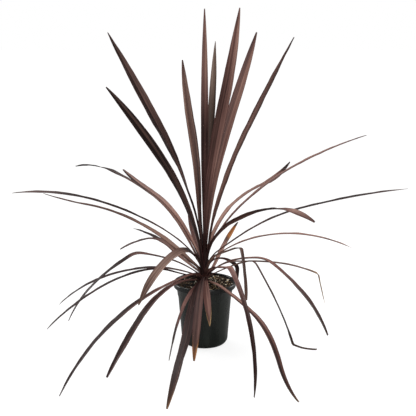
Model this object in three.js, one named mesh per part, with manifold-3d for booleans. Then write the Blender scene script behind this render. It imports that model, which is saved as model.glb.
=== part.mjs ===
// A potted cordyline: a nursery pot full of soil, a short stem, and a rosette of long strap leaves.
// Millimetres, +Z up. The origin is the middle of the pot's underside, and -Y is the front.
import * as THREE from "three";
import { mergeVertices } from "three/addons/utils/BufferGeometryUtils.js";
import Module from "manifold-3d";

const wasm = await Module();
wasm.setup();

// Gap that parts lying against each other keep
const SEAT_GAP = 0.35;

// Pot: a tapered tub with a rolled lip, a collar under it and a rounded foot
const POT_HEIGHT = 172;
const LIP_RADIUS = 82.5;
const LIP_DEPTH = 13;
const LIP_ROUND = 3;
const COLLAR_TOP_RADIUS = 75;
const COLLAR_DEPTH = 25;
const COLLAR_STEP = 1.3;
const FOOT_RADIUS = 61.5;
const FOOT_ROUND = 18;
const POT_WALL = 2.2;
const POT_FLOOR = 3;
const POT_SIDES = 48;
const ROUND_STEPS = 6;

// Drain holes: ovals cut at a slant through the rounded foot
const DRAIN_COUNT = 8;
const DRAIN_RADIUS = 6.5;
const DRAIN_STRETCH = 1.5;
const DRAIN_SIDES = 16;
const DRAIN_HEIGHT = 5.4;

// Soil: filled to just under the lip, a little lower round the stem, and smooth where it meets the wall
const SOIL_EDGE_HEIGHT = 165;
const SOIL_DISH = 3;
const SOIL_CRUMB = 1;
const SMOOTH_EDGE = 10;
const SOIL_RINGS = 9;
const SOIL_SIDES = 48;

// Crumbs of soil: crossing waves, each with its turn per millimetre along X and along Y, and its shift
const CRUMB_WAVES = [
  [0.31, 0.27, 0.9],
  [0.53, -0.39, 2.1],
  [0.17, 0.58, 4],
];

// Stem: a short upright stalk, ringed by old leaf scars and tapering inside the crown
const STEM_RADIUS = 8;
const STEM_FOOT = 100;
const STEM_SHOULDER = 215;
const STEM_TOP = 256;
const STEM_TOP_RADIUS = 2;
const STEM_SIDES = 12;
const SCAR_SPACING = 6;
const SCAR_HEIGHT = 0.4;

// Blade: a strap with a shallow channel, narrow at the root and widest past the middle
const WIDEST_AT = 0.6;
const ROOT_WIDTH = 7;
const TAPER_POWER = 2.8;
const ROOT_THICKNESS = 1.8;
const BLADE_THICKNESS = 1.3;
const EDGE_THICKNESS = 0.8;
const TIP_WIDTH = 1.6;
const ROOT_CHANNEL = 24;
const BLADE_CHANNEL = 9;
const ROOT_DEPTH = 1.5;
const RINGS_PER_LEAF = 20;
const CORNERS = 6;

// Each leaf stands on the stem at a height, its seat, and points to a turn, in degrees round from +X.
// bend, twist and veer are lists of [share of the length, degrees]: the midrib's rise above level,
// the blade's roll about its midrib, and how far the midrib swings sideways from its turn.
// Two close shares in a bend make a fold. A leaf gives its root, widest, tip and tone where they differ
// from the rest.
const UPRIGHT_LEAVES = [
  {
    turn: 176, seat: 230, length: 640, width: 30, root: 5, widest: 0.54, tip: 2.5,
    bend: [[0, 89], [0.25, 71], [0.6, 62], [1, 62]],
    twist: [[0, 0], [0.15, 20], [0.3, 7], [0.45, -24], [0.6, -44], [1, -44]],
  },
  {
    turn: 212, seat: 217, length: 555, width: 24, widest: 0.54, tip: 3,
    bend: [[0, 84], [0.2, 71], [0.5, 58], [1, 47]],
    twist: [[0, 0], [0.2, 35], [0.5, 38], [0.75, 75], [1, 75]],
  },
  {
    turn: 118, seat: 247, length: 515, width: 25, tip: 3.5,
    bend: [[0, 64], [0.1, 77], [0.3, 85], [0.65, 69], [1, 80]],
  },
  {
    turn: 90, seat: 254, length: 625, width: 20, root: 10, widest: 0.45, tip: 2.5,
    bend: [[0, 87], [0.5, 84], [1, 86]],
  },
  {
    turn: 79, seat: 231, length: 580, width: 20, widest: 0.62,
    bend: [[0, 80], [0.3, 78], [0.65, 72], [1, 76]],
  },
  {
    turn: 297, seat: 241, length: 665, width: 29, widest: 0.55, tip: 2.5,
    bend: [[0, 95], [0.3, 73], [0.65, 67], [1, 76]],
    twist: [[0, 0], [0.3, -16], [1, -20]],
  },
  {
    turn: 44, seat: 240, length: 610, width: 27, tip: 3.5,
    bend: [[0, 87], [0.3, 76], [0.65, 65], [1, 67]],
    twist: [[0, 0], [0.3, 22], [0.5, 34], [1, 35]],
  },
  {
    turn: 5, seat: 226, length: 625, width: 24, widest: 0.56, tip: 2.5,
    bend: [[0, 87], [0.25, 73], [0.6, 64], [1, 63]],
    twist: [[0, 0], [0.25, 40], [0.5, 26], [1, 24]],
  },
  {
    turn: 103, seat: 225, length: 240, width: 20, widest: 0.45, tone: "mauve",
    bend: [[0, 16], [0.3, 15], [1, 49]],
  },
];

const RIGHT_LEAVES = [
  {
    turn: 62, seat: 211, length: 635, width: 23, widest: 0.57, tip: 2.5, tone: "mauve",
    bend: [[0, 89], [0.15, 37], [0.35, 13], [0.65, 0], [1, 21]],
    twist: [[0, 0], [0.15, 18], [0.3, -9], [0.45, -20], [0.6, -10], [0.75, 9], [1, 35]],
  },
  {
    turn: 34, seat: 223, length: 665, width: 17, root: 5, tip: 4, tone: "mauve",
    bend: [[0, 83], [0.12, 48], [0.3, 32], [0.6, 18], [1, 9]],
    twist: [[0, 0], [0.25, 3], [0.5, -6], [1, -6]],
  },
  {
    turn: 7, seat: 216, length: 590, width: 18, root: 5, widest: 0.68, tone: "mauve",
    bend: [[0, 74], [0.08, 35], [0.2, 33], [0.5, 13], [1, 5]],
  },
  {
    turn: 311, seat: 220, length: 460, width: 24, widest: 0.67, tip: 5,
    bend: [[0, 89], [0.15, 53], [0.35, 31], [0.65, 18], [1, -19]],
    twist: [[0, 0], [0.15, -20], [0.45, -23], [0.6, -13], [0.75, -11], [0.85, 12], [1, 35]],
  },
  {
    turn: 337, seat: 208, length: 425, width: 16, root: 5, widest: 0.68,
    bend: [[0, 73], [0.12, 38], [0.3, 25], [0.6, 6], [1, -19]],
    twist: [[0, 0], [0.25, 9], [0.5, -2], [1, -10]],
  },
  {
    turn: 58, seat: 181, length: 205, width: 15, widest: 0.62, tip: 3, tone: "dry",
    bend: [[0, 16], [0.3, 45], [1, 28]],
  },
  {
    turn: 306, seat: 198, length: 312, width: 14, tip: 6, tone: "mauve",
    bend: [[0, 78], [0.25, 24], [0.5, 24], [0.57, 8], [0.595, -73], [1, -87]],
    twist: [[0, 0], [0.5, -10], [0.75, -20], [1, 20]],
  },
  {
    turn: 337, seat: 189, length: 430, width: 22, root: 5, tip: 6, tone: "mauve",
    bend: [[0, 50], [0.2, 19], [0.36, 4], [0.46, -33], [0.7, -45], [1, -67]],
    twist: [[0, 0], [0.5, -6], [0.75, 3], [1, 16]],
  },
  {
    turn: 27, seat: 185, length: 465, width: 16, root: 5, tone: "dry",
    bend: [[0, 43], [0.2, -6], [0.45, -12], [0.79, -27], [0.81, -75], [1, -73]],
    twist: [[0, 0], [0.3, -12], [0.5, 0], [0.75, 15], [1, 18]],
  },
  {
    turn: 322, seat: 184, length: 465, width: 13, root: 5, tip: 5, tone: "dry",
    bend: [[0, 32], [0.2, 26], [0.33, 19], [0.38, -52], [0.6, -57], [0.84, -68], [0.86, -6], [1, 16]],
    twist: [[0, 0], [0.25, -13], [0.5, -24], [0.75, -20], [1, 22]],
  },
  {
    turn: 286, seat: 191, length: 585, width: 15, tip: 3.5,
    bend: [[0, 36], [0.2, 15], [0.37, 16], [0.43, -15], [0.7, -49], [1, -108]],
    twist: [[0, 0], [0.3, 4], [0.4, 30], [0.5, 62], [1, 62]],
  },
  {
    turn: 296, seat: 173, length: 520, width: 13, tip: 3, tone: "mauve",
    bend: [[0, 12], [0.2, -3], [0.45, -8], [0.55, -14], [0.8, -57], [1, -13]],
    twist: [[0, 0], [0.25, 15], [0.5, 4], [0.75, 42], [1, 40]],
  },
  {
    turn: 40, seat: 201, length: 170, width: 14, tip: 5,
    bend: [[0, 77], [0.28, -9], [0.7, -42], [0.79, -89], [1, -95]],
    twist: [[0, 0], [0.35, -30], [0.7, -35], [1, 10]],
  },
];

const LEFT_LEAVES = [
  {
    turn: 137, seat: 205, length: 600, width: 16, tip: 4, tone: "mauve",
    bend: [[0, 54], [0.2, 47], [0.45, 20], [0.7, 12], [1, -14]],
    twist: [[0, 0], [0.3, 10], [0.6, 10], [0.72, -12], [0.82, 25], [1, 40]],
  },
  {
    turn: 127, seat: 213, length: 455, width: 20, root: 9, widest: 0.6, tip: 4, tone: "mauve",
    bend: [[0, 55], [0.3, 34], [0.65, 12], [1, 21]],
    twist: [[0, 0], [0.25, -32], [0.5, -9], [1, -25]],
  },
  {
    turn: 178, seat: 204, length: 565, width: 18, root: 5, widest: 0.7, tip: 2.5,
    bend: [[0, 78], [0.1, 46], [0.3, 29], [0.6, 16], [1, -6]],
    twist: [[0, 0], [0.25, 7], [0.5, -3], [1, -12]],
  },
  {
    turn: 184, seat: 197, length: 470, width: 20, root: 10, widest: 0.35, tip: 2.5, tone: "mauve",
    bend: [[0, 48], [0.3, 37], [0.55, 25], [0.75, 12], [1, 20]],
    twist: [[0, 0], [0.1, -75], [0.3, -26], [0.45, -5], [1, -3]],
  },
  { turn: 117, seat: 193, length: 490, width: 16, tip: 4.5, bend: [[0, 10], [0.5, 1], [1, -6]] },
  {
    turn: 130, seat: 188, length: 410, width: 16, widest: 0.64, tip: 5.5, tone: "mauve",
    bend: [[0, 12], [0.35, 22], [0.65, -19], [1, -28]],
    twist: [[0, 0], [0.25, -15], [0.5, 1], [0.75, -25], [1, -45]],
  },
  {
    turn: 234, seat: 194, length: 330, width: 28, widest: 0.46, tip: 3, tone: "dry",
    bend: [[0, 74], [0.25, 35], [0.36, 8], [0.46, -11], [1, -54]],
    twist: [[0, 0], [0.15, 10], [0.28, -34], [0.38, -20], [0.55, 2], [1, -22]],
  },
  {
    turn: 183, seat: 185, length: 450, width: 21, root: 5, tip: 4.5, tone: "mauve",
    bend: [[0, 41], [0.2, 20], [0.38, 6], [0.46, -32], [0.7, -43], [1, -65]],
    twist: [[0, 0], [0.3, 12], [0.45, -20], [0.6, -5], [1, -14]],
  },
  {
    turn: 155, seat: 181, length: 505, width: 18, root: 5, tip: 3, tone: "mauve",
    bend: [[0, 14], [0.35, -12], [0.7, -28], [1, -43]],
    twist: [[0, 0], [0.25, -14], [0.5, -9], [1, -28]],
  },
  {
    turn: 193, seat: 178, length: 455, width: 16, root: 5, tip: 4.5, tone: "mauve",
    bend: [[0, 18], [0.2, 18], [0.35, -9], [0.6, -27], [1, -44]],
    twist: [[0, 0], [0.25, -11], [0.5, 2], [1, -10]],
  },
  {
    turn: 230, seat: 182, length: 555, width: 16, widest: 0.58, tip: 4.5,
    bend: [[0, 43], [0.1, -1], [0.4, -11], [0.7, -29], [1, -50]],
    twist: [[0, 0], [0.5, -4], [0.75, 10], [1, 15]],
  },
  {
    turn: 238, seat: 171, length: 460, width: 19, widest: 0.62, tip: 5.5, tone: "mauve",
    bend: [[0, 25], [0.3, -1], [0.65, -34], [1, -42]],
  },
];

const FRONT_LEAVES = [
  {
    turn: 290, seat: 178, length: 200, width: 19, widest: 0.55, tone: "mauve",
    bend: [[0, 22], [1, -67]],
    veer: [[0, -23], [1, -8]],
  },
  {
    turn: 261, seat: 184, length: 365, width: 20, widest: 0.68, tip: 4, tone: "dry",
    bend: [[0, 18], [1, -52]],
    twist: [[0, 0], [0.25, 25], [0.5, 18], [1, 8]],
    veer: [[0, 7], [1, 3]],
  },
  {
    turn: 247, seat: 175, length: 505, width: 25, tip: 4,
    bend: [[0, 18], [0.33, -22], [0.67, -17], [1, -44]],
    twist: [[0, 0], [0.5, 12], [0.75, 24], [1, -10]],
    veer: [[0, 12], [0.5, 18], [1, 5]],
  },
  {
    turn: 253, seat: 168, length: 320, width: 16, widest: 0.54, tip: 2.5, tone: "dry",
    bend: [[0, 14], [0.3, -5], [0.6, -31], [1, -55]],
    twist: [[0, 0], [0.25, -10], [0.5, 34], [1, 56]],
  },
];

const POT_PLASTIC = new THREE.MeshStandardMaterial({ color: 0x2a2d2d, roughness: 0.45, metalness: 0 });
const SOIL = new THREE.MeshStandardMaterial({ color: 0x2b211a, roughness: 0.95, metalness: 0 });
const STEM_BARK = new THREE.MeshStandardMaterial({ color: 0x3a2a25, roughness: 0.85, metalness: 0 });
const LEAF_TONES = {
  bronze: new THREE.MeshStandardMaterial({ color: 0x4a3533, roughness: 0.5, metalness: 0 }),
  mauve: new THREE.MeshStandardMaterial({ color: 0x7a5c57, roughness: 0.5, metalness: 0 }),
  dry: new THREE.MeshStandardMaterial({ color: 0x8a6a50, roughness: 0.75, metalness: 0 }),
};

// The value of a list of [share, value] stations at a share, straight between stations.
function valueAt(stations, share) {
  const next = stations.findIndex(([at]) => at >= share);
  if (next === -1) return stations.at(-1)[1];
  if (next === 0) return stations[0][1];
  const [fromShare, fromValue] = stations[next - 1];
  const [toShare, toValue] = stations[next];
  return THREE.MathUtils.mapLinear(share, fromShare, toShare, fromValue, toValue);
}

// A closed three.js geometry as a manifold-3d solid, without the slivers that a lathe leaves on its axis.
function toSolid(geometry) {
  const bare = new THREE.BufferGeometry();
  bare.setAttribute("position", geometry.getAttribute("position"));
  bare.setIndex(geometry.index);
  const merged = mergeVertices(bare, 1e-4);
  const triangles = [];
  for (let i = 0; i < merged.index.count; i += 3) {
    const [a, b, c] = merged.index.array.slice(i, i + 3);
    if (a !== b && b !== c && c !== a) triangles.push(a, b, c);
  }
  const vertProperties = merged.getAttribute("position").array;
  const triVerts = new Uint32Array(triangles);
  return new wasm.Manifold(new wasm.Mesh({ numProp: 3, vertProperties, triVerts }));
}

function toMesh(name, solid, material) {
  const { vertProperties, triVerts } = solid.getMesh();
  const geometry = new THREE.BufferGeometry();
  geometry.setAttribute("position", new THREE.BufferAttribute(vertProperties, 3));
  geometry.setIndex(new THREE.BufferAttribute(triVerts, 1));
  geometry.computeVertexNormals();
  const mesh = new THREE.Mesh(geometry, material);
  mesh.name = name;
  return mesh;
}

// A profile of [radius, height] points turned about +Z.
function turned(profile, sides) {
  const points = profile.map(([radius, height]) => new THREE.Vector2(radius, height));
  return new THREE.LatheGeometry(points, sides).rotateX(Math.PI / 2);
}

// Points on an arc in a turned profile, from one angle to another in degrees.
function arc(centreRadius, centreHeight, radius, fromDegrees, toDegrees, steps) {
  return Array.from({ length: steps + 1 }, (_, i) => {
    const angle = THREE.MathUtils.degToRad(THREE.MathUtils.lerp(fromDegrees, toDegrees, i / steps));
    return [centreRadius + radius * Math.cos(angle), centreHeight + radius * Math.sin(angle)];
  });
}

// The pot's inner wall at a height, which the soil follows.
function innerRadius(height) {
  const bottom = FOOT_RADIUS - POT_WALL;
  const top = COLLAR_TOP_RADIUS - COLLAR_STEP - POT_WALL;
  return THREE.MathUtils.mapLinear(height, FOOT_ROUND, POT_HEIGHT, bottom, top);
}

// The wall inside the lip, which flares out from the inner wall to the lip's round.
function flaredRadius(height) {
  const bottom = POT_HEIGHT - LIP_DEPTH;
  const top = POT_HEIGHT - LIP_ROUND * 2;
  return THREE.MathUtils.mapLinear(height, bottom, top, innerRadius(bottom), LIP_RADIUS - LIP_ROUND * 2);
}

function potProfile() {
  const lipBottom = POT_HEIGHT - LIP_DEPTH;
  const collarBottom = lipBottom - COLLAR_DEPTH;
  const bodyTop = innerRadius(collarBottom) + POT_WALL;
  const lipCentre = LIP_RADIUS - LIP_ROUND;
  const lipInnerHeight = POT_HEIGHT - LIP_ROUND * 2;
  const innerFloorRadius = innerRadius(FOOT_ROUND) - FOOT_ROUND + POT_WALL;
  return [
    [0, 0],
    ...arc(FOOT_RADIUS - FOOT_ROUND, FOOT_ROUND, FOOT_ROUND, -90, 0, ROUND_STEPS),
    [bodyTop, collarBottom],
    [bodyTop + COLLAR_STEP, collarBottom + COLLAR_STEP],
    [COLLAR_TOP_RADIUS, lipBottom],
    ...arc(lipCentre, lipBottom + LIP_ROUND / 2, LIP_ROUND, -50, 0, 2),
    ...arc(lipCentre, POT_HEIGHT - LIP_ROUND, LIP_ROUND, 0, 180, ROUND_STEPS),
    [flaredRadius(lipInnerHeight), lipInnerHeight],
    [innerRadius(lipBottom), lipBottom],
    [innerRadius(FOOT_ROUND), FOOT_ROUND],
    ...arc(innerFloorRadius, FOOT_ROUND, FOOT_ROUND - POT_FLOOR, 0, -90, ROUND_STEPS).slice(1),
    [0, POT_FLOOR],
  ];
}

// Drain holes through the rounded foot, evenly round the pot.
function drainHole(index) {
  const angle = ((index + 0.5) * 2 * Math.PI) / DRAIN_COUNT;
  const hole = new THREE.CylinderGeometry(DRAIN_RADIUS, DRAIN_RADIUS, FOOT_ROUND * 2, DRAIN_SIDES);
  hole.scale(1, 1, DRAIN_STRETCH).rotateZ(-Math.PI / 4);
  hole.translate(FOOT_RADIUS - DRAIN_HEIGHT, 0, DRAIN_HEIGHT);
  return hole.rotateZ(angle);
}

function makePot() {
  let pot = toSolid(turned(potProfile(), POT_SIDES));
  for (let i = 0; i < DRAIN_COUNT; i += 1) pot = pot.subtract(toSolid(drainHole(i)));
  return toMesh("pot", pot, POT_PLASTIC);
}

function crumb(x, y) {
  const wallRadius = flaredRadius(SOIL_EDGE_HEIGHT) - SEAT_GAP;
  const fromWall = THREE.MathUtils.clamp((wallRadius - Math.hypot(x, y)) / SMOOTH_EDGE, 0, 1);
  return SOIL_CRUMB * fromWall * CRUMB_WAVES.reduce((sum, [alongX, alongY, shift]) => {
    return sum + Math.sin(alongX * x + alongY * y + shift);
  }, 0);
}

function makeSoil() {
  const holeRadius = STEM_RADIUS + SCAR_HEIGHT + SEAT_GAP;
  const wallRadius = flaredRadius(SOIL_EDGE_HEIGHT) - SEAT_GAP;
  const footRadius = innerRadius(FOOT_ROUND) - SEAT_GAP;
  const lipBottom = POT_HEIGHT - LIP_DEPTH;
  const top = Array.from({ length: SOIL_RINGS + 1 }, (_, i) => {
    const share = i / SOIL_RINGS;
    const radius = THREE.MathUtils.lerp(wallRadius, holeRadius, share);
    return [radius, SOIL_EDGE_HEIGHT - SOIL_DISH * share ** 2];
  });
  const soil = turned(
    [
      [0, POT_FLOOR + SEAT_GAP],
      [footRadius - FOOT_ROUND, POT_FLOOR + SEAT_GAP],
      [footRadius, FOOT_ROUND + SEAT_GAP],
      [innerRadius(lipBottom) - SEAT_GAP, lipBottom],
      ...top,
      [holeRadius, STEM_FOOT - SEAT_GAP],
      [0, STEM_FOOT - SEAT_GAP],
    ],
    SOIL_SIDES,
  );
  const position = soil.getAttribute("position");
  for (let i = 0; i < position.count; i += 1) {
    const isTop = position.getZ(i) > lipBottom;
    if (isTop) position.setZ(i, position.getZ(i) + crumb(position.getX(i), position.getY(i)));
  }
  return toMesh("soil", toSolid(soil), SOIL);
}

function stemRadius(height) {
  if (height < STEM_SHOULDER) return STEM_RADIUS;
  return THREE.MathUtils.mapLinear(height, STEM_SHOULDER, STEM_TOP, STEM_RADIUS, STEM_TOP_RADIUS);
}

// The stem, or with a margin the space round it that leaf roots stay out of.
function stemSolid(margin) {
  const profile = [[0, STEM_FOOT - margin]];
  for (let height = STEM_FOOT; height <= STEM_TOP; height += SCAR_SPACING / 2) {
    const isScar = Math.round((height - STEM_FOOT) / (SCAR_SPACING / 2)) % 2 === 1;
    const scar = isScar || margin > 0 ? SCAR_HEIGHT : 0;
    profile.push([stemRadius(height) + scar + margin, height]);
  }
  profile.push([0, STEM_TOP + margin]);
  return toSolid(turned(profile, STEM_SIDES));
}

function bladeWidth(leaf, share) {
  const root = leaf.root ?? ROOT_WIDTH;
  const tip = leaf.tip ?? TIP_WIDTH;
  const widest = leaf.widest ?? WIDEST_AT;
  if (share < widest) {
    const grown = THREE.MathUtils.smoothstep(share, 0, widest);
    return THREE.MathUtils.lerp(root, leaf.width, grown);
  }
  const taper = ((share - widest) / (1 - widest)) ** TAPER_POWER;
  return THREE.MathUtils.lerp(leaf.width, tip, taper);
}

// Shares of the length where the blade has a ring: every station of its bend, and evenly between them.
function ringShares(bend) {
  const shares = [0];
  for (let i = 1; i < bend.length; i += 1) {
    const from = bend[i - 1][0];
    const to = bend[i][0];
    const steps = Math.max(2, Math.round((to - from) * RINGS_PER_LEAF));
    for (let step = 1; step <= steps; step += 1) shares.push(THREE.MathUtils.lerp(from, to, step / steps));
  }
  return shares;
}

// The direction of the midrib, and the blade's sideways and upper-face directions, at a share.
function bladeFrame(leaf, share) {
  const rise = THREE.MathUtils.degToRad(valueAt(leaf.bend, share));
  const swing = THREE.MathUtils.degToRad(leaf.turn + valueAt(leaf.veer ?? [[0, 0]], share));
  const roll = THREE.MathUtils.degToRad(valueAt(leaf.twist ?? [[0, 0]], share));
  const outward = new THREE.Vector3(Math.cos(swing), Math.sin(swing), 0);
  const along = outward.clone().multiplyScalar(Math.cos(rise)).setZ(Math.sin(rise));
  const side = new THREE.Vector3(-Math.sin(swing), Math.cos(swing), 0).applyAxisAngle(along, roll);
  const upper = new THREE.Vector3().crossVectors(along, side);
  return { along, side, upper };
}

// Six corners of the blade's section: left edge, midrib and right edge of the upper face, then of the lower.
function bladeSection(leaf, share, centre) {
  const { side, upper } = bladeFrame(leaf, share);
  const half = bladeWidth(leaf, share) / 2;
  const channel = THREE.MathUtils.lerp(ROOT_CHANNEL, BLADE_CHANNEL, Math.min(1, share / WIDEST_AT));
  const lift = half * Math.sin(THREE.MathUtils.degToRad(channel));
  const reach = half * Math.cos(THREE.MathUtils.degToRad(channel));
  const rib = THREE.MathUtils.lerp(ROOT_THICKNESS, BLADE_THICKNESS, Math.min(1, share / WIDEST_AT)) / 2;
  const edge = EDGE_THICKNESS / 2;
  const corners = [
    [reach, lift + edge],
    [0, rib],
    [-reach, lift + edge],
    [-reach, lift - edge],
    [0, -rib],
    [reach, lift - edge],
  ];
  return corners.map(([across, above]) =>
    centre.clone().addScaledVector(side, across).addScaledVector(upper, above),
  );
}

// Triangles between two rings of six corners, split from the midrib out alike on both faces.
function stripTriangles(ring) {
  const next = ring + CORNERS;
  const triangles = [];
  for (let corner = 0; corner < CORNERS; corner += 1) {
    const other = (corner + 1) % CORNERS;
    const fromCorner = corner === 1 || corner === 4;
    if (fromCorner) {
      triangles.push(ring + corner, ring + other, next + other);
      triangles.push(ring + corner, next + other, next + corner);
    } else {
      triangles.push(ring + corner, ring + other, next + corner);
      triangles.push(ring + other, next + other, next + corner);
    }
  }
  return triangles;
}

// Walks up the midrib from the stem, one section at each ring, and closes both ends.
function leafGeometry(leaf) {
  const shares = ringShares(leaf.bend);
  const root = bladeFrame(leaf, 0);
  const steepness = root.along.z;
  const levelShare = Math.hypot(root.along.x, root.along.y);
  const clear = SCAR_HEIGHT + SEAT_GAP + ROOT_THICKNESS / 2;
  const rootReach = stemRadius(leaf.seat) + clear * steepness - ROOT_DEPTH * levelShare;
  const turn = THREE.MathUtils.degToRad(leaf.turn);
  const centre = new THREE.Vector3(rootReach * Math.cos(turn), rootReach * Math.sin(turn), leaf.seat);
  const corners = bladeSection(leaf, 0, centre);
  const triangles = [0, 4, 1, 0, 5, 4, 1, 3, 2, 1, 4, 3];
  for (let i = 1; i < shares.length; i += 1) {
    const middle = (shares[i - 1] + shares[i]) / 2;
    centre.addScaledVector(bladeFrame(leaf, middle).along, leaf.length * (shares[i] - shares[i - 1]));
    corners.push(...bladeSection(leaf, shares[i], centre));
    triangles.push(...stripTriangles((i - 1) * CORNERS));
  }
  const last = (shares.length - 1) * CORNERS;
  for (const corner of [0, 1, 4, 0, 4, 5, 1, 2, 3, 1, 3, 4]) triangles.push(last + corner);
  const geometry = new THREE.BufferGeometry().setFromPoints(corners);
  geometry.setIndex(triangles);
  return geometry;
}

// A leaf with its root cut to the stem.
function makeLeaf(name, leaf, stemSpace) {
  const pieces = toSolid(leafGeometry(leaf)).subtract(stemSpace).decompose();
  const blade = pieces.reduce((largest, piece) => (piece.volume() > largest.volume() ? piece : largest));
  return toMesh(name, blade, LEAF_TONES[leaf.tone ?? "bronze"]);
}

const plant = new THREE.Group();
plant.add(makePot());
plant.add(makeSoil());
plant.add(toMesh("stem", stemSolid(0), STEM_BARK));

const stemSpace = stemSolid(SEAT_GAP);
const leafGroups = [
  ["upright_leaf", UPRIGHT_LEAVES],
  ["right_leaf", RIGHT_LEAVES],
  ["left_leaf", LEFT_LEAVES],
  ["front_leaf", FRONT_LEAVES],
];
for (const [name, leaves] of leafGroups) {
  leaves.forEach((leaf, i) => plant.add(makeLeaf(`${name}_${i + 1}`, leaf, stemSpace)));
}

export default plant;
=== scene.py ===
# A potted cordyline with bronze leaves: the finish of its pot, soil, stem and every leaf.
# Sizes are in millimetres and angles in degrees, unless a comment says otherwise.
import math
from dataclasses import dataclass

import bpy
import numpy as np
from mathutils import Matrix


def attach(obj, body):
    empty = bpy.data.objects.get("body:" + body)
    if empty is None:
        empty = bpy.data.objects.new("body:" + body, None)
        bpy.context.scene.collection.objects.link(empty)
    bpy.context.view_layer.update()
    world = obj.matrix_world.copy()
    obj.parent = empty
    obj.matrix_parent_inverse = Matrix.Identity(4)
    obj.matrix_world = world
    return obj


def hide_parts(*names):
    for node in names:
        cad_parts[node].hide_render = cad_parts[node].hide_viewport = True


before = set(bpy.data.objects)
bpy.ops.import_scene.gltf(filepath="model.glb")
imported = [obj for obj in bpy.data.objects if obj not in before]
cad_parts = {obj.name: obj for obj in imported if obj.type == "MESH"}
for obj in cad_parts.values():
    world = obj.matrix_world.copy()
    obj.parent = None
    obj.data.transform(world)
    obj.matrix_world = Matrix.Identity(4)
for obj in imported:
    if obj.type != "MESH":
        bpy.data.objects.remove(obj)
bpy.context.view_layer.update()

MM = 0.001
UP = np.array([0.0, 0.0, 1.0])

# Camera: the photograph's place in metres, its tilt and its lens
CAMERA_PLACE = (0.0087, -2.2, 0.86)
CAMERA_PITCH = 12.55
CAMERA_LENS = 74.86
CAMERA_SENSOR = 36

# Light: the room, the floor's own glow, and the sky with its place in metres
ROOM_LIGHT = 0.3
FLOOR_GLOW = 0.8
SKY_LIGHT = 1.7
SKY_SOFTNESS = 40
SKY_PLACE = (-0.5, 0.6, 1.7)

# Soft panels: name, place and size in metres, power in watts
PANELS = [
    ("left_panel", (-1.7, 0.7, 0.4), (0.6, 1.4), 16),
    ("right_panel", (1.6, 0.9, 0.4), (0.6, 1.4), 14),
    ("front_panel", (0.6, -2.3, 1.5), (1.6, 1.6), 34),
]
PANEL_TARGET = (0, 0, 0.15)

# Floor
FLOOR_HALF = 20000
FLOOR_DROP = 0.3

# Pot, with the same driving sizes as its solid
POT_HEIGHT = 172
LIP_RADIUS = 82.5
LIP_DEPTH = 13
LIP_ROUND = 3
COLLAR_TOP_RADIUS = 75
COLLAR_DEPTH = 25
COLLAR_STEP = 1.3
FOOT_RADIUS = 61.5
FOOT_ROUND = 18
POT_WALL = 2.2
POT_FLOOR = 3
POT_SIDES = 192
DRAIN_COUNT = 8
DRAIN_RADIUS = 6.5
DRAIN_STRETCH = 1.5
DRAIN_HEIGHT = 5.4
DRAIN_SLANT = 45

# Soil, with the pitch and depth of its crumbs, and the lumps that lie on it
SOIL_EDGE_HEIGHT = 165
SOIL_DISH = 3
SOIL_GAP = 0.35
SMOOTH_EDGE = 10
SOIL_CRUMBS = ((34, 1.0), (17, 0.8), (9, 0.7), (5.2, 0.6), (3.1, 0.45), (2.0, 0.25))
CHIP_MARGIN = 3
CHIP_RISE = 0.3

# Stem
STEM_RADIUS = 8
STEM_FOOT = 100
STEM_SHOULDER = 215
STEM_TOP = 256
STEM_TOP_RADIUS = 2
STEM_BARK_GAP = 0.2
STEM_RING_PITCH = 5.2
STEM_RING_DEPTH = 0.45

# Blade: its seat off the stem, its widths, the slope of its trough, and the sheath that wraps the stem
ROOT_CLEAR = 1.65
ROOT_DEPTH = 1.5
ROOT_WIDTH = 9
TAPER_POWER = 2.8
WIDEST_AT = 0.6
ROOT_CHANNEL = 38
BLADE_CHANNEL = 15
SHEATH_WIDTH = 17
SHEATH_LENGTH = 16
SHEATH_JOIN = 14
SHEATH_CLEAR = 0.9
SHEATH_HANDLE = 0.45
SHEATH_STEPS = 30
WRAP_CLEAR = 2.0

# Half thicknesses of a blade, and the waves in its roll (degrees) and its margins
BLADE_EDGE = 0.22
RIB_ROOT = 0.9
RIB_TIP = 0.55
KEEL_ROOT = 0.9
KEEL_TIP = 0.25
KEEL_SPREAD = 0.11
GROOVE_DEPTH = 0.28
GROOVE_SPREAD = 0.08
MARGIN_ROUND = 0.15
MARGIN_WAVE = 0.55
MARGIN_PITCHES = (90, 105)
ROLL_WAVE = 2.5
ROLL_PITCH = 260

# How finely a blade is drawn, along it and across each half
PATH_STEPS = 600
BLADE_RINGS = 110
RINGS_IN_BENDS = 0.35
RINGS_AT_TIP = 0.002
ACROSS_HALF = (0.07, 0.2, 0.38, 0.58, 0.78, 0.92, 1.0)


@dataclass
class Leaf:
    """One leaf. Tuples hold (share, value) pairs, from share 0 at the root to 1 at the tip."""

    turn: int  # the way it points, round from +X
    seat: int  # the height where it stands on the stem
    length: int
    width: int  # at its widest
    bend: tuple  # the midrib's rise above level
    # The next field holds the leaf's own tone with painted shade and light: darker where the leaf turns
    # from the light or lies under other leaves, lighter where it faces the light
    shade: tuple  # 0 dark to 1 light
    tint: float  # 0 olive to 1 pink
    # The next field is painted shade: how much lighter one half of the blade is painted than the other,
    # as light falls on the two sides of its trough
    painted_half_shade: float = 0  # how much lighter one half of the blade is than the other
    twist: tuple = ((0, 0),)  # the blade's roll about its midrib
    veer: tuple = ((0, 0),)  # how far the midrib swings sideways from its turn
    widest: float = WIDEST_AT  # the share where it is widest
    root: float = None  # its width at the root, where it is unusual
    tip: float = 1.2  # its width at the tip
    tone: str = "bronze"  # its material
    dry: float = 1.2  # the share where straw begins, past 1 for a leaf with none
    edge: float = 0  # how far straw creeps down the margins
    rust: float = 0.2  # how orange the straw is


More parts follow.
